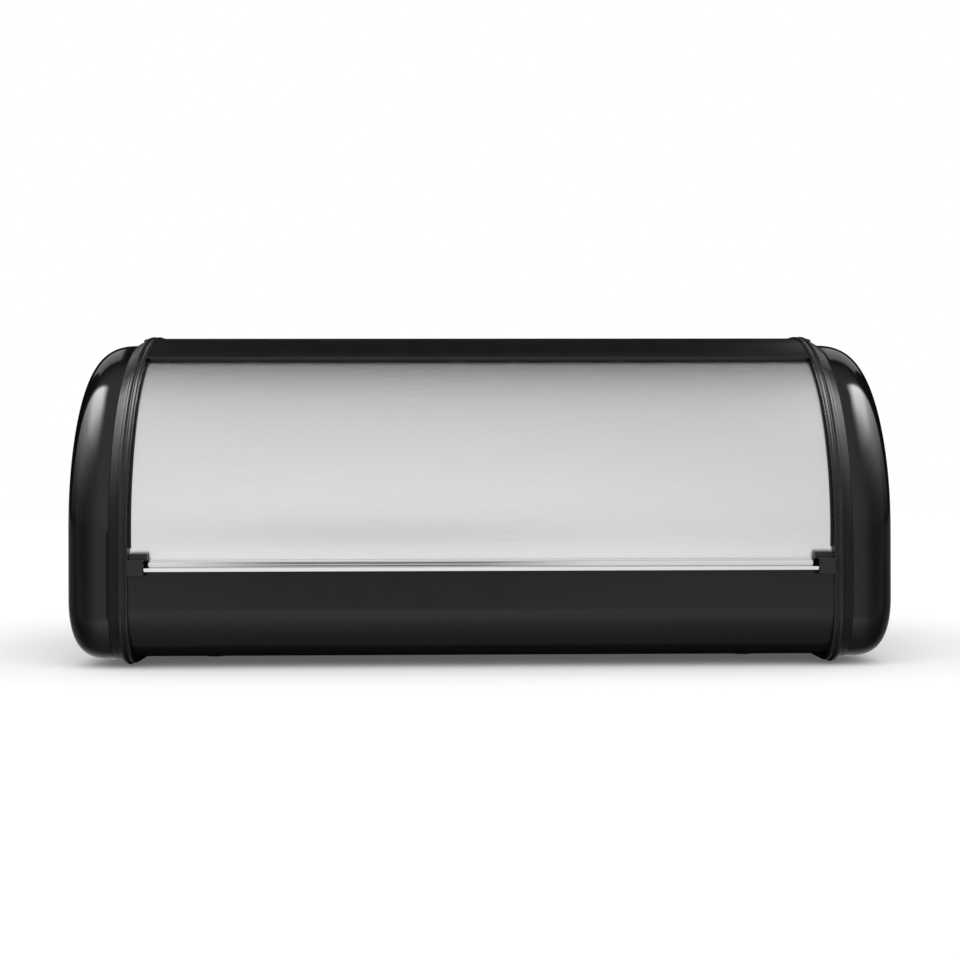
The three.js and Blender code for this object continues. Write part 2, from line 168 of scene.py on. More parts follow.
CAMERA_LENS = 60.4
CAMERA_DISTANCE = 0.846  # from the wrap's front
CAMERA_X = -0.0181
CAMERA_Z = 0.103
CAMERA_TURN = (90 - 0.217, 0.13, -1.147)  # degrees
CEILING_STRENGTH = 1.4
CEILING_WIDTH = 80  # degrees
CEILING_TILT = 40
EVEN_LIGHT = 0.75  # brightness of the surroundings for matt surfaces
FLOOR_HALF = 3
FLOOR_WHITE = 0.88
FLOOR_GLOW = 0.1
# Darkness of the shadow card: a painted shadow that reflections see under the bin.
SHADOW_CARD_SHADE = 0.05
CARD_INSET = 12 * MM

# What reflections see, as (position, value) stops. Ahead is -Y, where the camera is. A turn goes from
# straight behind (0) through straight down, ahead (0.5) and the zenith to behind again (1).
# Brightness against the turn.
SURROUND = [
    (0, 0.6),
    (0.13, 0.6),
    (0.2, 0.15),
    (0.3, 0.3),
    (0.37, 0.6),
    (0.41, 0.95),
    (0.43, 1.1),
    (0.46, 1.3),
    (0.48, 0.9),
    (0.5, 0.9),
    (0.52, 1.05),
    (0.715, 0.78),
    (0.75, 0.65),
    (0.789, 0.47),
    (0.805, 0.35),
    (0.822, 0.23),
    (0.847, 0.06),
    (0.87, 0.01),
    (0.97, 0.01),
    (1, 0.04),
]
# Share of it, from the far left (0) over the middle (0.5) to the far right (1).
SIDE_SHARE = [
    (0, 0.2),
    (0.1, 0.2),
    (0.2, 0.35),
    (0.35, 0.95),
    (0.42, 1),
    (0.52, 1),
    (0.6, 0.9),
    (0.7, 0.7),
    (0.8, 0.3),
    (0.9, 0.2),
    (1, 0.2),
]
# Tall lights at both sides: their share against the distance to the side and against the bearing, from
# straight ahead (0) to straight behind (1), and their brightness against height, the elevation's sine.
STRIP_ACROSS = [(0, 0), (0.3, 0), (0.42, 1), (1, 1)]
STRIP_BEARING = [(0, 0), (0.06, 0), (0.2, 0.4), (0.35, 0.8), (0.45, 1), (0.735, 1), (0.77, 0), (1, 0)]
STRIP_HEIGHT = [
    (0, 0),
    (0.2, 0.3),
    (0.34, 0.9),
    (0.5, 2),
    (0.64, 4),
    (0.77, 10),
    (0.87, 12),
    (0.935, 12),
    (0.95, 0),
    (1, 0),
]
# Two pale areas behind: their share against the distance to the side, and brightness against the turn.
WALL_ACROSS = [(0, 0), (0.21, 0), (0.24, 1), (0.5, 1), (0.53, 0), (1, 0)]
WALL_TURN = [(0, 0), (0.86, 0), (0.87, 0.6), (0.93, 0.6), (0.94, 0), (1, 0)]
# The dark camera: its middle, and its darkness against the distance from there, across and in height.
CAMERA_SPOT_ACROSS = -0.04
CAMERA_SPOT_HEIGHT = -0.06
CAMERA_SPOT_WIDTH = [(0, 1), (0.06, 1), (0.13, 0.1), (0.3, 0), (1, 0)]
CAMERA_SPOT_DEPTH = [(0, 0.9), (0.02, 0.9), (0.07, 0), (1, 0)]


# ---- Mesh tools ----


def polar(centre, radius, degrees):
    angle = math.radians(degrees)
    return Vector((centre.x + radius * math.cos(angle), centre.y + radius * math.sin(angle)))


def arc(centre, radius, start, end, steps):
    """Points of an arc in the Y-Z section. Degrees turn from +Y towards +Z."""
    return [polar(centre, radius, start + (end - start) * i / steps) for i in range(steps + 1)]


def soften(points, reach, steps=4, closed=False):
    """The polyline with each corner turned into a small curve that starts this far from it."""
    count = len(points)
    result = []
    for i, point in enumerate(points):
        if not closed and i in (0, count - 1):
            result.append(point)
            continue
        before = points[i - 1] - point
        after = points[(i + 1) % count] - point
        start = before * min(reach / before.length, 0.45)
        end = after * min(reach / after.length, 0.45)
        for step in range(steps + 1):
            t = step / steps
            result.append(point + start * (1 - t) ** 2 + end * t**2)
    return result


def normals(path):
    """Unit normals of an open path, to the left of its direction."""
    result = []
    for i in range(len(path)):
        along = (path[min(i + 1, len(path) - 1)] - path[max(i - 1, 0)]).normalized()
        result.append(Vector((-along.y, along.x)))
    return result


def thicken(path, thickness):
    """Closed section of a sheet of this thickness, centred on an open path."""
    left = [p + n * thickness / 2 for p, n in zip(path, normals(path))]
    right = [p - n * thickness / 2 for p, n in zip(path, normals(path))]
    return left + right[::-1]


def new_object(name, mesh):
    made = bpy.data.objects.new(name, mesh)
    bpy.context.scene.collection.objects.link(made)
    return made


def from_bmesh(name, bm):
    bmesh.ops.recalc_face_normals(bm, faces=bm.faces)
    mesh = bpy.data.meshes.new(name)
    bm.to_mesh(mesh)
    bm.free()
    return new_object(name, mesh)


def skin(name, rings):
    """A closed skin over rings of 3-D points, with the end rings filled."""
    bm = bmesh.new()
    made = [[bm.verts.new(p) for p in ring] for ring in rings]
    for near, far in zip(made, made[1:]):
        for i in range(len(near)):
            j = (i + 1) % len(near)
            bm.faces.new((near[i], near[j], far[j], far[i]))
    bm.faces.new(made[0])
    bm.faces.new(made[-1])
    return from_bmesh(name, bm)


def at_x(points, x):
    return [Vector((x, p.x, p.y)) for p in points]


def prism(name, points, from_x, to_x):
    """A Y-Z section drawn out along X."""
    return skin(name, [at_x(points, from_x), at_x(points, to_x)])


def ring_part(inner, outer, low, high, steps):
    """Section of a ring about the lid's pivot, between two lid angles."""
    above = arc(PIVOT, outer, 180 - low, 180 - high, steps)
    below = arc(PIVOT, inner, 180 - low, 180 - high, steps)
    return above + below[::-1]


def block(name, low, high, bevel=0.0):
    """A block between two corners, with rounded edges."""
    bm = bmesh.new()
    bmesh.ops.create_cube(bm, size=1)
    size = high - low
    for vert in bm.verts:
        vert.co = low + Vector(size[k] * (vert.co[k] + 0.5) for k in range(3))
    if bevel:
        bmesh.ops.bevel(bm, geom=bm.edges, offset=bevel, segments=3, profile=0.5, affect="EDGES")
    return from_bmesh(name, bm)


def turned(name, profile, sides=48):
    """A profile of (radius, height) points turned about Z. It starts and ends on the axis."""
    bm = bmesh.new()
    rings = []
    for radius, height in profile:
        if radius == 0:
            rings.append([bm.verts.new((0, 0, height))] * sides)
            continue
        angles = [2 * math.pi * i / sides for i in range(sides)]
        rings.append(
            [bm.verts.new((radius * math.cos(a), radius * math.sin(a), height)) for a in angles]
        )
    for near, far in zip(rings, rings[1:]):
        for i in range(sides):
            j = (i + 1) % sides
            corners = dict.fromkeys((near[i], near[j], far[j], far[i]))
            bm.faces.new(corners)
    return from_bmesh(name, bm)


def rod(radius, start, end):
    """A plain round cutter between two points."""
    length = (end - start).length
    made = turned("cutter", [(0, 0), (radius, 0), (radius, length), (0, length)], sides=32)
    turn = (end - start).to_track_quat("Z", "Y").to_matrix().to_4x4()
    made.data.transform(Matrix.Translation(start) @ turn)
    return made


def bake(piece):
    """Replaces a piece's mesh by what its modifiers make of it."""
    evaluated = piece.evaluated_get(bpy.context.evaluated_depsgraph_get())
    mesh = bpy.data.meshes.new_from_object(evaluated)
    piece.modifiers.clear()
    piece.data = mesh


def combine(piece, others, operation):
    """Joins others to a piece, or cuts them away, and removes them."""
    for other in others:
        modifier = piece.modifiers.new("combine", "BOOLEAN")
        modifier.operation = operation
        modifier.solver = "MANIFOLD"
        modifier.object = other
        bake(piece)
        bpy.data.objects.remove(other)


def mirrored(piece, name):
    """The piece's mirror image about the middle of the bin."""
    mesh = piece.data.copy()
    mesh.transform(Matrix.Scale(-1, 4, (1, 0, 0)))
    mesh.flip_normals()
    return new_object(name, mesh)


def finish_piece(piece, body, material, node, sharp=32):
    """Smooth shading up to an angle, the material, and the piece's place in the frame."""
    mesh = piece.data
    mesh.shade_smooth()
    mesh.set_sharp_from_angle(angle=math.radians(sharp))
    mesh.materials.clear()
    mesh.materials.append(material)
    weighted = piece.modifiers.new("even_shading", "WEIGHTED_NORMAL")
    weighted.mode = "FACE_AREA_WITH_ANGLE"
    weighted.keep_sharp = True
    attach(piece, body)
    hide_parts(node)


def finish_pair(right, base, body, material, node):
    """Finishes a right-hand piece and adds its mirror image on the left."""
    left = mirrored(right, f"{base}_left")
    right.name = f"{base}_right"
    finish_piece(right, body, material, f"{node}_right")
    finish_piece(left, body, material, f"{node}_left")


# ---- Materials ----


def base_color(slot):
    """The record's colour for a material slot."""
    found = next(m for m in frame["record"]["materials"] if m["slot"] == slot)
    return (*found["base_color"], 1)


class Look:
    """A Principled material with helpers for noise, roughness and bump, in metres of object space."""

    def __init__(self, slot, roughness, metallic=0.0, specular=0.5):
        self.material = bpy.data.materials.new(slot)
        self.material.use_nodes = True
        self.nodes = self.material.node_tree.nodes
        self.links = self.material.node_tree.links
        self.shader = self.nodes["Principled BSDF"]
        self.shader.inputs["Base Color"].default_value = base_color(slot)
        self.shader.inputs["Roughness"].default_value = roughness
        self.shader.inputs["Metallic"].default_value = metallic
        self.shader.inputs["Specular IOR Level"].default_value = specular
        self.coordinates = self.nodes.new("ShaderNodeTexCoord").outputs["Object"]
        self.relief = None

    def noise(self, scale, detail, stretch=(1, 1, 1)):
        """Noise with features of about 1 / scale metres, divided along each axis by the stretch."""
        mapping = self.nodes.new("ShaderNodeMapping")
        mapping.inputs["Scale"].default_value = [1 / s for s in stretch]
        self.links.new(self.coordinates, mapping.inputs["Vector"])
        texture = self.nodes.new("ShaderNodeTexNoise")
        texture.inputs["Scale"].default_value = scale
        texture.inputs["Detail"].default_value = detail
        self.links.new(mapping.outputs["Vector"], texture.inputs["Vector"])
        return texture.outputs["Fac"]

    def spread(self, value, low, high):
        """Maps noise, which keeps near its middle, to a range of values."""
        mapped = self.nodes.new("ShaderNodeMapRange")
        mapped.inputs["From Min"].default_value = 0.3
        mapped.inputs["From Max"].default_value = 0.7
        mapped.inputs["To Min"].default_value = low
        mapped.inputs["To Max"].default_value = high
        self.links.new(value, mapped.inputs["Value"])
        return mapped.outputs["Result"]

    def vary_roughness(self, noise, low, high):
        self.links.new(self.spread(noise, low, high), self.shader.inputs["Roughness"])

    def vary_color(self, noise, amount):
        """Makes the colour lighter and darker by a share of itself."""
        factor = self.spread(noise, 1 - amount, 1 + amount)
        tint = self.nodes.new("ShaderNodeVectorMath")
        tint.operation = "SCALE"
        tint.inputs[0].default_value = self.shader.inputs["Base Color"].default_value[:3]
        self.links.new(factor, tint.inputs["Scale"])
        self.links.new(tint.outputs["Vector"], self.shader.inputs["Base Color"])

    def bump(self, noise, depth):
        """Adds relief of a depth in metres."""
        bump = self.nodes.new("ShaderNodeBump")
        bump.inputs["Strength"].default_value = 1
        bump.inputs["Distance"].default_value = depth
        self.links.new(noise, bump.inputs["Height"])
        if self.relief:
            self.links.new(self.relief, bump.inputs["Normal"])
        self.relief = bump.outputs["Normal"]
        self.links.new(self.relief, self.shader.inputs["Normal"])


def gloss_plastic():
    """High-gloss moulding: almost a mirror, with a slow waviness and faint wiping haze."""
    look = Look("cap_black", 0.07, specular=0.35)
    look.vary_roughness(look.noise(60, 4), 0.05, 0.1)
    look.bump(look.noise(35, 1), 0.02 * MM)
    return look.material


def satin_plastic(slot, roughness):
    """Moulded plastic with a fine spark-eroded texture."""
    look = Look(slot, roughness, specular=0.3)
    look.vary_roughness(look.noise(90, 3), roughness - 0.04, roughness + 0.05)
    look.vary_color(look.noise(400, 3), 0.06)
    look.bump(look.noise(2600, 2), 0.001 * MM)
    return look.material


def sheet_paint():
    """Semi-gloss powder coat with a fine orange peel."""
    look = Look("wrap_paint", 0.22, specular=0.3)
    look.vary_roughness(look.noise(70, 4), 0.2, 0.25)
    look.vary_color(look.noise(900, 2), 0.1)
    look.bump(look.noise(420, 2), 0.006 * MM)
    look.bump(look.noise(2400, 1), 0.002 * MM)
    return look.material


def lid_steel():
    """Satin-polished stainless steel with its grain along the bin."""
    look = Look("lid_steel", 0.26, metallic=1.0)
    grain = look.noise(5200, 3, stretch=(120, 1, 1))
    look.vary_roughness(grain, 0.245, 0.275)
    look.vary_color(look.noise(2600, 4, stretch=(90, 1, 1)), 0.015)
    look.bump(grain, 0.0006 * MM)
    look.bump(look.noise(9, 1, stretch=(2, 1, 1)), 0.008 * MM)
    look.shader.inputs["Anisotropic"].default_value = 0.75
    tangent = look.nodes.new("ShaderNodeTangent")
    tangent.direction_type = "RADIAL"
    tangent.axis = "X"
    look.links.new(tangent.outputs["Tangent"], look.shader.inputs["Tangent"])
    return look.material


def rail_steel():
    """Bright polished stainless steel with drawn lines along it."""
    look = Look("rail_steel", 0.06, metallic=1.0)
    lines = look.noise(4200, 3, stretch=(200, 1, 1))
    look.vary_roughness(lines, 0.05, 0.08)
    look.vary_color(lines, 0.03)
    look.bump(lines, 0.001 * MM)
    return look.material


def zinc():
    """Zinc-plated steel, slightly mottled."""
    look = Look("screw_zinc", 0.35, metallic=1.0)
    look.vary_roughness(look.noise(900, 3), 0.28, 0.42)
    look.vary_color(look.noise(1400, 3), 0.12)
    look.bump(look.noise(3000, 2), 0.006 * MM)
    return look.material


def rubber():
    """Matt rubber with a dry, dusty surface."""
    look = Look("foot_rubber", 0.8, specular=0.3)
    look.vary_color(look.noise(700, 4), 0.25)
    look.vary_roughness(look.noise(500, 3), 0.72, 0.9)
    look.bump(look.noise(1800, 3), 0.02 * MM)
    return look.material


# ---- Body ----


def outline(grow, bottom, corner=None):
    """The bin's closed outline, grown outwards and ending at its own bottom height."""
    corner = corner or BOTTOM_ARC + grow
    front = Vector((BODY_FRONT - grow + corner, bottom + corner))
    back = Vector((BODY_BACK + grow - corner, bottom + corner))
    return [
        *arc(REAR, REAR_ARC + grow, 0, 90, REAR_STEPS),
        *arc(PIVOT, FRONT_ARC + grow, 90, 180, FRONT_STEPS),
        *arc(front, corner, 180, 270, CORNER_STEPS),
        *arc(back, corner, 270, 360, CORNER_STEPS),
    ]


def wrap_path(depth, run_on=0.0):
    """Line at a depth below the wrap's surface, from the sill round the bin to the strip's edge."""
    corner = BOTTOM_ARC - depth
    low = BODY_LIFT + depth + corner
    strip_end = 180 - STRIP_EDGE + math.degrees(run_on / FRONT_ARC)
    return [
        Vector((BODY_FRONT + depth, SILL_TOP + run_on)),
        *arc(Vector((BODY_FRONT + depth + corner, low)), corner, 180, 270, CORNER_STEPS),
        *arc(Vector((BODY_BACK - depth - corner, low)), corner, 270, 360, CORNER_STEPS),
        *arc(REAR, REAR_ARC - depth, 0, 90, REAR_STEPS),
        *arc(PIVOT, FRONT_ARC - depth, 90, strip_end, STRIP_STEPS),
    ]


def folded_wrap_path():
    """Middle line of the sheet with its two folds: the sill's flange and the strip's lip."""
    middle = SHEET / 2
    flange_end = Vector((BODY_FRONT + SILL_FLANGE, SILL_TOP - middle))
    body = wrap_path(middle)
    sill_corner = Vector((BODY_FRONT + middle, SILL_TOP - middle))
    fold_angle = 180 - STRIP_EDGE - math.degrees(middle / FRONT_ARC)
    strip_corner = polar(PIVOT, FRONT_ARC - middle, fold_angle)
    lip_end = polar(PIVOT, LIP_RADIUS, fold_angle)
    sill_fold = soften([flange_end, sill_corner, body[1]], FOLD_ROUND, 6)
    strip_fold = soften([body[-2], strip_corner, lip_end], FOLD_ROUND, 6)
    return sill_fold[:-1] + body[1:-1] + strip_fold[1:]


def middle_of(node):
    return sum(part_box(node), Vector()) / 2


def screw_holes(nodes, radius, start, end):
    """Cutters for holes along these screws or feet, between two offsets from their middle."""
    middles = [middle_of(node) for node in nodes]
    return [rod(radius, middle + start, middle + end) for middle in middles]


def side_nodes(base, side, names):
    return [f"{base}_{side}_{name}" for name in names]


def wrap_end_cutters(sign):
    """Cutters that end the sill's flange and the strip's lip short of a frame's wall."""
    far_x = sign * (WRAP_END + MM)
    low_x, high_x = sorted((sign * (WALL_X - WALL_CLEARANCE), far_x))
    flange_low = Vector((low_x, BODY_FRONT + SHEET, SILL_TOP - 3 * MM))
    flange_high = Vector((high_x, BODY_FRONT + 2 * SILL_FLANGE, SILL_TOP + MM))
    low_x, high_x = sorted((sign * LIP_END_X, far_x))
    lip = ring_part(LIP_RADIUS - MM, FRONT_ARC - SHEET, STRIP_EDGE - 1, STRIP_EDGE + 1, 4)
    return [block("cutter", flange_low, flange_high), prism("cutter", lip, low_x, high_x)]


def make_wrap(material):
    piece = prism("wrap_panel", thicken(folded_wrap_path(), SHEET), -WRAP_END, WRAP_END)
    cutters = wrap_end_cutters(-1) + wrap_end_cutters(1)
    up = Vector((0, 0, 8 * MM))
    along = Vector((0, 8 * MM, 0))
    for side in SIDES:
        cutters += screw_holes(side_nodes("base_screw", side, (1, 2)), SCREW_HOLE, -up, up)
        cutters += screw_holes(side_nodes("back_screw", side, (1, 2)), SCREW_HOLE, -along, along)
        cutters += screw_holes(side_nodes("foot", side, ("front", "rear")), FOOT_HOLE, -up, up)
    combine(piece, cutters, "DIFFERENCE")
    finish_piece(piece, "body", material, "body_wrap")


def make_lugs():
    """The blocks inside the frame that the wrap is screwed to, at the screws' places."""
    lugs = []
    half = LUG / 2
    floor = BODY_LIFT + SHEET + LUG_GAP
    back = BODY_BACK - SHEET - LUG_GAP
    for node in side_nodes("base_screw", "right", (1, 2)):
        y = middle_of(node).y
        low = Vector((WALL_X - LUG, y - half, floor))
        high = Vector((WALL_X + MM, y + half, floor + LUG_HEIGHT))
        lugs.append(block("lug", low, high, LUG_ROUND))
    for node in side_nodes("back_screw", "right", (1, 2)):
        z = middle_of(node).z
        low = Vector((WALL_X - LUG, back - LUG_HEIGHT, z - half))
        high = Vector((WALL_X + MM, back, z + half))
        lugs.append(block("lug", low, high, LUG_ROUND))
    return lugs


def frame_holes():
    """Cutters for the screws through the right frame's lugs and web."""
    up = Vector((0, 0, LUG_HEIGHT))
    back = Vector((0, LUG_HEIGHT, 0))
    out = Vector((9 * MM, 0, 0))
    base = screw_holes(side_nodes("base_screw", "right", (1, 2)), SCREW_HOLE, -up, up / 2)
    rear = screw_holes(side_nodes("back_screw", "right", (1, 2)), SCREW_HOLE, -back / 2, back)
    cap = screw_holes(side_nodes("cap_screw", "right", (1, 2, 3, 4)), SCREW_HOLE, -out, Vector())
    return base + rear + cap


def make_frames(material):
    """Stepped mouldings with a pocket, lugs, the lid's track and the groove that holds the wrap."""
    profile = soften([Vector(row) * MM for row in FLANGE], FRAME_ROUND, 3)
    rings = [at_x(outline(grow, bottom), WALL_X + out) for out, grow, bottom in profile]
    piece = skin("frame_moulding", rings)
    outer_x = rings[-1][0].x
    web_x = WALL_X + WEB
    pocket = prism("cutter", outline(-RING_WIDTH, CAP_BOTTOM + 4 * MM), web_x, outer_x + MM)
    combine(piece, [pocket], "DIFFERENCE")
    track_end = LID_HIGH + OPEN_TRAVEL + TRACK_END_GAP
    rib_inner = TRACK_INNER - TRACK_WALL
    rib_outer = TRACK_OUTER + TRACK_WALL
    rib = ring_part(rib_inner, rib_outer, TRACK_RIB_START, track_end + 1, 40)
    rib_end = WALL_X + TRACK_DEPTH + TRACK_WALL
    combine(piece, [prism("rib", rib, web_x - MM, rib_end), *make_lugs()], "UNION")
    track = ring_part(TRACK_INNER, TRACK_OUTER, LID_LOW - TRACK_END_GAP, track_end, TRACK_STEPS)
    outside = wrap_path(-GROOVE_GAP, GROOVE_GAP)
    inside = wrap_path(SHEET + GROOVE_GAP, GROOVE_GAP)
    cutters = [
        prism("cutter", track, WALL_X - MM, WALL_X + TRACK_DEPTH),
        prism("cutter", outside + inside[::-1], WALL_X - MM, WALL_X + GROOVE_DEPTH),
    ]
    combine(piece, cutters + frame_holes(), "DIFFERENCE")
    finish_pair(piece, "frame_moulding", "body", material, "end_frame")


def dome_rings(wall, start_x):
    """Rings of the cap's surface, or of its hollow, from the skirt's edge to the top of the dome."""
    dome_x = CAP_X + CAP_SKIRT
    rise = cap_face - CROWN - dome_x - wall
    inset = DOME_INSET - wall
    skirt_corner = BOTTOM_ARC - CAP_INSET - wall
    rings = []
    if wall == 0:
        step = CAP_EDGE_ROUND * 0.3
        edge = outline(-CAP_INSET - CAP_EDGE_ROUND, CAP_BOTTOM + CAP_EDGE_ROUND)
        rings.append(at_x(edge, start_x))
        rings.append(at_x(outline(-CAP_INSET - step, CAP_BOTTOM), start_x + step))
        start_x += CAP_EDGE_ROUND
    rings.append(at_x(outline(-CAP_INSET - wall, CAP_BOTTOM + wall), start_x))
    for i in range(DOME_STEPS + 1):
        angle = math.pi / 2 * i / DOME_STEPS
        share = 1 - max(0, math.cos(angle)) ** (2 / DOME_POWER)
        into = wall + inset * share
        corner = skirt_corner + (DOME_CORNER - skirt_corner) * share
        x = dome_x + rise * math.sin(angle) ** (2 / DOME_POWER)
        rings.append(at_x(outline(-CAP_INSET - into, CAP_BOTTOM + into, corner), x))
    return rings


def make_caps(material):
    rings = dome_rings(0, CAP_X)
    top = rings[-1]
    middle = sum(top, Vector()) / len(top)
    for i in range(1, CROWN_STEPS):
        share = 1 - i / CROWN_STEPS
        lift = Vector((CROWN * (1 - share**2), 0, 0))
        rings.append([middle + (p - middle) * share + lift for p in top])
    piece = skin("cap_dome", rings)
    combine(piece, [skin("hollow", dome_rings(CAP_WALL, CAP_X - MM))], "DIFFERENCE")
    finish_pair(piece, "cap_dome", "body", material, "end_cap")


def make_feet(material):
    """Turned rubber feet with a rounded tread, a groove round the side and a barb above the sheet."""
    barb = BODY_LIFT + SHEET + 0.1 * MM
    seat = BODY_LIFT - 0.1 * MM
    rows = [
        (0, 0.5 * MM),
        (3.4 * MM, 0.5 * MM),
        (3.8 * MM, 0),
        (6.3 * MM, 0),
        (7 * MM, 0.8 * MM),
        (6.9 * MM, 2.2 * MM),
        (6.5 * MM, 2.6 * MM),
        (6.9 * MM, 3 * MM),
        (6.6 * MM, seat),
        (2.4 * MM, seat),
        (2.4 * MM, barb),
        (3.4 * MM, barb),
        (1.8 * MM, barb + 2 * MM),
        (0, barb + 2 * MM),
    ]
    profile = soften([Vector(row) for row in rows], 0.25 * MM, 3)
    for side in SIDES:
        for place in ("front", "rear"):
            node = f"foot_{side}_{place}"
            middle = middle_of(node)
            piece = turned(f"rubber_foot_{side}_{place}", profile)
            piece.data.transform(Matrix.Translation((middle.x, middle.y, 0)))
            finish_piece(piece, "body", material, node)


def pan_screw(length):
    """A pan-head screw with a cross recess. Its seat is at the origin and its head faces +Z."""
    rows = [
        (0, -length),
        (SCREW_SHANK * 0.3, -length),
        (SCREW_SHANK, 1.6 * MM - length),
        (SCREW_SHANK, 0),
        (SCREW_HEAD, 0),
        (SCREW_HEAD, SCREW_HEAD_HEIGHT * 0.35),
        (SCREW_HEAD * 0.8, SCREW_HEAD_HEIGHT * 0.85),
        (SCREW_HEAD * 0.4, SCREW_HEAD_HEIGHT),
        (0, SCREW_HEAD_HEIGHT),
    ]
    piece = turned("screw", soften([Vector(row) for row in rows], 0.4 * MM, 4), sides=36)
    arm = Vector((1.7 * MM, 0.32 * MM, 2 * MM))
    recess_floor = SCREW_HEAD_HEIGHT - 1.1 * MM
    for size in (arm, Vector((arm.y, arm.x, arm.z))):
        recess = block("cutter", -size, size)
        recess.data.transform(Matrix.Translation((0, 0, recess_floor + size.z)))
        combine(piece, [recess], "DIFFERENCE")
    return piece


def make_screw(node, axis, facing, material):
    """A screw in its node's box, with its head the way it is driven from."""
    low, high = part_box(node)
    reach = (high - low)[axis]
    seat = (low + high) / 2 + facing * (reach / 2 - SCREW_HEAD_HEIGHT)
    piece = pan_screw(reach - SCREW_HEAD_HEIGHT)
    turn = facing.to_track_quat("Z", "Y").to_matrix().to_4x4()
    piece.data.transform(Matrix.Translation(seat) @ turn)
    piece.name = f"pan_{node}"
    finish_piece(piece, "body", material, node)


def make_screws(material):
    for side, inwards in zip(SIDES, (-1, 1)):
        for number in (1, 2):
            make_screw(f"base_screw_{side}_{number}", 2, Vector((0, 0, -1)), material)
        for number in (1, 2):
            make_screw(f"back_screw_{side}_{number}", 1, Vector((0, 1, 0)), material)
        for number in (1, 2, 3, 4):
            make_screw(f"cap_screw_{side}_{number}", 0, Vector((inwards, 0, 0)), material)


# ---- Lid ----


def make_lid(material):
    section = ring_part(LID_OUTER - LID_SHEET, LID_OUTER, LID_LOW, LID_HIGH, LID_STEPS)
    piece = prism("lid_panel", section, -LID_EDGE_X, LID_EDGE_X)
    finish_piece(piece, "lid", material, "lid_sheet")


def lid_face(z, gap=0.0):
    """How far forward the lid's outer face is at a height, plus a gap."""
    return PIVOT.x - math.sqrt((LID_OUTER + gap) ** 2 - (z - PIVOT.y) ** 2)


def rail_section():
    """The rail: a lower bar, a hollow with a bead along it, a sloped top and a hook over the sill."""
    front = rail_low.y
    top = rail_high.z
    lid = lid_face(top, RAIL_GAP)
    wall = lid - RAIL_HOLLOW
    bead = wall - 0.3 * MM
    edge = lid - 0.4 * MM
    panel = BODY_FRONT - RAIL_GAP
    hook_top = PIVOT.y + LID_OUTER * math.sin(math.radians(LID_LOW)) - RAIL_GAP
    rows = [
        (front + 0.45 * MM, RAIL_BOTTOM),
        (front, 54.1 * MM),
        (front + 0.15 * MM, 54.25 * MM),
        (front + 0.8 * MM, 54.25 * MM),
        (front + 1.1 * MM, 53.9 * MM),
        (wall, 53.9 * MM),
        (wall, 55.25 * MM),
        (bead, 55.3 * MM),
        (bead, 55.65 * MM),
        (wall, 55.7 * MM),
        (wall, 56.95 * MM),
        (edge, 57.5 * MM),
        (edge, top),
        (lid, top),
        (lid_face(hook_top, RAIL_GAP), hook_top),
        (rail_high.y, hook_top),
        (rail_high.y, RAIL_UNDERSIDE),
        (panel, RAIL_UNDERSIDE),
        (panel, RAIL_BOTTOM),
    ]
    return soften([Vector(row) for row in rows], 0.05 * MM, 2, closed=True)


def make_rail(material):
    piece = prism("rail_bar", rail_section(), rail_low.x, rail_high.x)
    finish_piece(piece, "lid", material, "handle_rail", sharp=40)


def make_clips(material):
    """Stepped clips over the rail's ends: a low block round the bar and a flat tab up the lid."""
    low_start = Vector((CLIP_LOW_FROM, clip_low.y, clip_low.z))
    low_end = Vector((clip_high.x, BODY_FRONT - RAIL_GAP, CLIP_LOW_TOP))
    tab_start = Vector((clip_low.x, BODY_FRONT - CLIP_TAB_PROUD, CLIP_TAB_BOTTOM))
    tab_end = Vector((clip_high.x - 0.3 * MM, clip_high.y, clip_high.z))
    piece = block("clip", low_start, low_end, CLIP_ROUND)
    combine(piece, [block("tab", tab_start, tab_end, CLIP_ROUND)], "UNION")
    gap = Vector((SOCKET_GAP, SOCKET_GAP, SOCKET_GAP))
    socket_low = Vector((clip_low.x - MM, rail_low.y, rail_low.z)) - gap
    socket_high = Vector((rail_high.x, clip_high.y + MM, rail_high.z)) + gap
    combine(piece, [block("socket", socket_low, socket_high)], "DIFFERENCE")
    finish_pair(piece, "clip_moulding", "lid", material, "handle_clip")


def make_glides(material):
    """U-shaped edging along the lid's curved edge."""
    slot_low = LID_OUTER - LID_SHEET - GLIDE_SLOT
    slot_high = LID_OUTER + GLIDE_SLOT
    slot_x = LID_EDGE_X + GLIDE_SLOT
    rows = [
        (glide_low.x, GLIDE_OUTER),
        (glide_high.x, GLIDE_OUTER),
        (glide_high.x, GLIDE_INNER),
        (glide_low.x, GLIDE_INNER),
        (glide_low.x, slot_low),
        (slot_x, slot_low),
        (slot_x, slot_high),
        (glide_low.x, slot_high),
    ]
    section = soften([Vector(row) for row in rows], 0.15 * MM, 2, closed=True)
    rings = []
    for i in range(LID_STEPS + 1):
        angle = 180 - (GLIDE_START + (LID_HIGH - GLIDE_START) * i / LID_STEPS)
        rings.append([Vector((p.x, *polar(PIVOT, p.y, angle))) for p in section])
    finish_pair(skin("glide", rings), "glide_edging", "lid", material, "lid_glide")


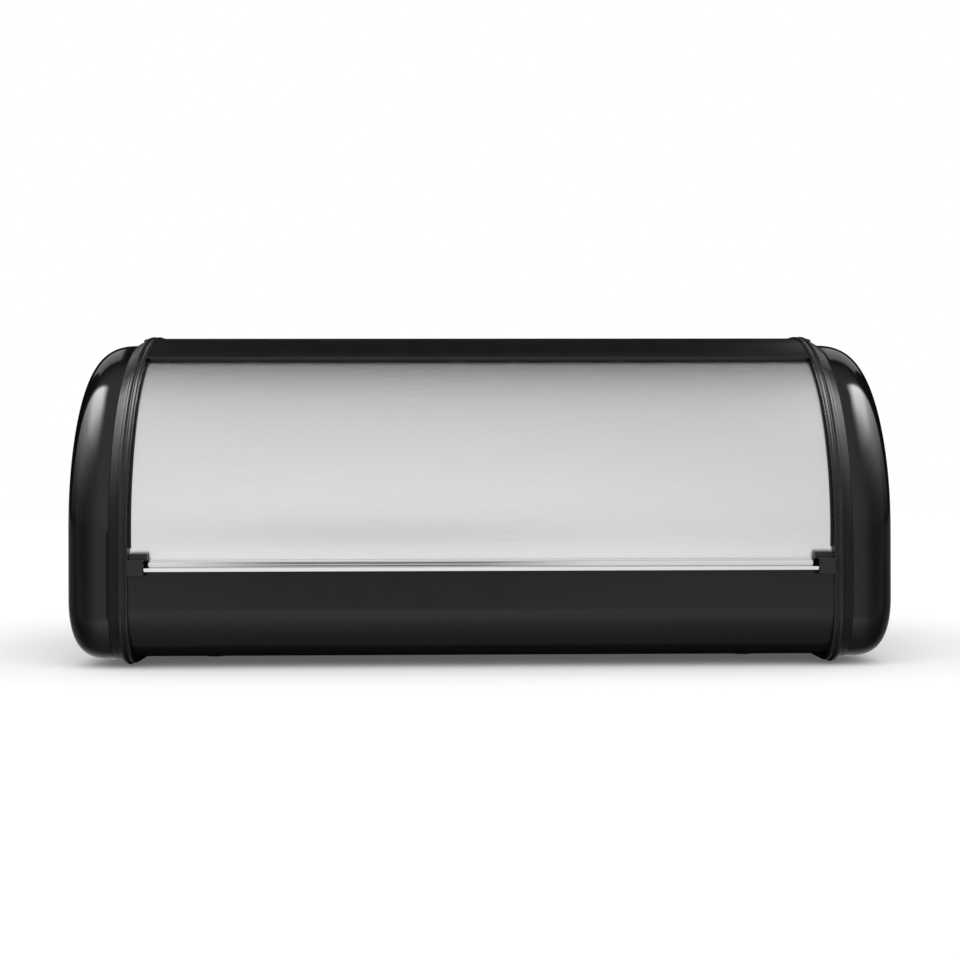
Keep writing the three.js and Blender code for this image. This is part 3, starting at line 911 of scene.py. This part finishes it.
def make_rear_trim(material):
    """Edging over the lid's rear edge."""
    low = LID_HIGH - 1.5
    slot_end = LID_HIGH + 0.1
    high = LID_HIGH + 1
    slot_low = LID_OUTER - LID_SHEET - GLIDE_SLOT
    slot_high = LID_OUTER + GLIDE_SLOT
    rows = [
        (low, GLIDE_OUTER),
        (high, GLIDE_OUTER),
        (high, GLIDE_INNER),
        (low, GLIDE_INNER),
        (low, slot_low),
        (slot_end, slot_low),
        (slot_end, slot_high),
        (low, slot_high),
    ]
    corners = [polar(PIVOT, radius, 180 - angle) for angle, radius in rows]
    section = soften(corners, 0.2 * MM, 3, closed=True)
    piece = prism("rear_edging", section, trim_low.x, trim_high.x)
    finish_piece(piece, "lid", material, "lid_rear_trim")


# ---- Studio ----


class Graph:
    """Short ways to add nodes that work on single values."""

    def __init__(self, tree):
        self.nodes = tree.nodes
        self.links = tree.links

    def math(self, operation, *values):
        node = self.nodes.new("ShaderNodeMath")
        node.operation = operation
        for socket, value in zip(node.inputs, values):
            if isinstance(value, (int, float)):
                socket.default_value = value
            else:
                self.links.new(value, socket)
        return node.outputs["Value"]

    def mix(self, share, first, second):
        """The first value where the share is 0, the second where it is 1."""
        return self.math("MULTIPLY_ADD", share, self.math("SUBTRACT", second, first), first)

    def ramp(self, value, stops):
        """Reads a value from 0 to 1 off straight lines between stops."""
        node = self.nodes.new("ShaderNodeFloatCurve")
        curve = node.mapping.curves[0]
        while len(curve.points) < len(stops):
            curve.points.new(0.5, 0.5)
        top = max(level for _, level in stops)
        for point, (position, level) in zip(curve.points, stops):
            point.location = (position, level / top)
            point.handle_type = "VECTOR"
        node.mapping.extend = "HORIZONTAL"
        node.mapping.update()
        self.links.new(value, node.inputs["Value"])
        return self.math("MULTIPLY", node.outputs["Value"], top)


def reflected_studio(graph, direction):
    """Brightness that a reflection finds in a direction."""
    split = graph.nodes.new("ShaderNodeSeparateXYZ")
    graph.links.new(direction, split.inputs["Vector"])
    across, depth, height = split.outputs
    ahead = graph.math("MULTIPLY", depth, -1)
    turn = graph.math("MULTIPLY_ADD", graph.math("ARCTAN2", height, ahead), 0.5 / math.pi, 0.5)
    side = graph.math("MULTIPLY_ADD", across, 0.5, 0.5)
    level = graph.math("MULTIPLY", graph.ramp(turn, SURROUND), graph.ramp(side, SIDE_SHARE))
    level = graph.math("ADD", level, strip_lights(graph, across, depth, height))
    sideways = graph.math("ABSOLUTE", across)
    walls = graph.math("MULTIPLY", graph.ramp(sideways, WALL_ACROSS), graph.ramp(turn, WALL_TURN))
    level = graph.math("ADD", level, walls)
    clear = graph.math("SUBTRACT", 1, camera_darkness(graph, across, depth, height))
    return graph.math("MULTIPLY", level, clear)


def strip_lights(graph, across, depth, height):
    """Brightness of the tall lights at the sides."""
    flat = graph.math("SUBTRACT", 1, graph.math("MULTIPLY", height, height))
    heading = graph.math("DIVIDE", depth, graph.math("SQRT", flat))
    bearing = graph.math("MULTIPLY_ADD", heading, 0.5, 0.5)
    share = graph.ramp(graph.math("ABSOLUTE", across), STRIP_ACROSS)
    share = graph.math("MULTIPLY", share, graph.ramp(bearing, STRIP_BEARING))
    return graph.math("MULTIPLY", share, graph.ramp(height, STRIP_HEIGHT))


def camera_darkness(graph, across, depth, height):
    """How much of the light the camera hides in its own place."""
    off_across = graph.math("ABSOLUTE", graph.math("SUBTRACT", across, CAMERA_SPOT_ACROSS))
    off_height = graph.math("ABSOLUTE", graph.math("SUBTRACT", height, CAMERA_SPOT_HEIGHT))
    width_share = graph.ramp(off_across, CAMERA_SPOT_WIDTH)
    height_share = graph.ramp(off_height, CAMERA_SPOT_DEPTH)
    share = graph.math("MULTIPLY", width_share, height_share)
    return graph.math("MULTIPLY", share, graph.math("LESS_THAN", depth, 0))


def make_world():
    """White to the camera, an even light to matt surfaces, and a studio to reflections."""
    world = bpy.data.worlds.new("studio")
    bpy.context.scene.world = world
    world.use_nodes = True
    world.cycles.sampling_method = "NONE"
    graph = Graph(world.node_tree)
    direction = graph.nodes.new("ShaderNodeTexCoord").outputs["Generated"]
    path = graph.nodes.new("ShaderNodeLightPath").outputs
    level = graph.mix(path["Is Diffuse Ray"], reflected_studio(graph, direction), EVEN_LIGHT)
    level = graph.mix(path["Is Camera Ray"], level, 1)
    background = graph.nodes["Background"]
    background.inputs["Color"].default_value = (1, 1, 1, 1)
    graph.links.new(level, background.inputs["Strength"])


def make_ceiling_light():
    """A wide soft light from above and ahead, which reflections don't see."""
    data = bpy.data.lights.new("ceiling", "SUN")
    data.energy = CEILING_STRENGTH
    data.angle = math.radians(CEILING_WIDTH)
    ceiling = bpy.data.objects.new("ceiling", data)
    bpy.context.scene.collection.objects.link(ceiling)
    ceiling.rotation_euler.x = math.radians(CEILING_TILT)
    ceiling.visible_glossy = False


def matt_material(name, level):
    """A grey with no gloss, for the floor and the card."""
    material = bpy.data.materials.new(name)
    material.use_nodes = True
    inputs = material.node_tree.nodes["Principled BSDF"].inputs
    inputs["Base Color"].default_value = (level, level, level, 1)
    inputs["Roughness"].default_value = 0.9
    inputs["Specular IOR Level"].default_value = 0
    return material, inputs


def make_floor():
    """A white table, faintly lit from inside. Reflections see the ground of the studio instead."""
    bm = bmesh.new()
    bmesh.ops.create_grid(bm, x_segments=1, y_segments=1, size=FLOOR_HALF)
    floor = from_bmesh("floor", bm)
    material, inputs = matt_material("floor", FLOOR_WHITE)
    inputs["Emission Color"].default_value = (1, 1, 1, 1)
    inputs["Emission Strength"].default_value = FLOOR_GLOW
    floor.data.materials.append(material)
    floor.visible_glossy = False


def make_shadow_card():
    """A dark card under the bin that only reflections see: a painted shadow standing in for the shaded
    floor beneath it.
    """
    low = Vector((-WRAP_END, BODY_FRONT + CARD_INSET, 0.1 * MM))
    high = Vector((WRAP_END, BODY_BACK - CARD_INSET, 0.2 * MM))
    card = block("shadow_card", low, high)
    card.data.materials.append(matt_material("shadow_card", SHADOW_CARD_SHADE)[0])
    card.visible_camera = False
    card.visible_diffuse = False
    card.visible_shadow = False


def make_camera():
    """Just above the bin's middle, close to it, and almost level."""
    data = bpy.data.cameras.new("camera")
    data.sensor_width = 36
    data.lens = CAMERA_LENS
    camera = bpy.data.objects.new("camera", data)
    bpy.context.scene.collection.objects.link(camera)
    camera.location = (CAMERA_X, BODY_FRONT - CAMERA_DISTANCE, CAMERA_Z)
    camera.rotation_euler = [math.radians(turn) for turn in CAMERA_TURN]
    bpy.context.scene.camera = camera


make_camera()
make_floor()
make_shadow_card()
make_world()
make_ceiling_light()
bpy.context.scene.view_settings.view_transform = "Standard"

make_wrap(sheet_paint())
make_frames(satin_plastic("frame_black", 0.26))
make_caps(gloss_plastic())
make_feet(rubber())
make_screws(zinc())
make_lid(lid_steel())
make_rail(rail_steel())
make_clips(satin_plastic("clip_black", 0.34))
black_glide = satin_plastic("glide_black", 0.3)
make_glides(black_glide)
make_rear_trim(black_glide)
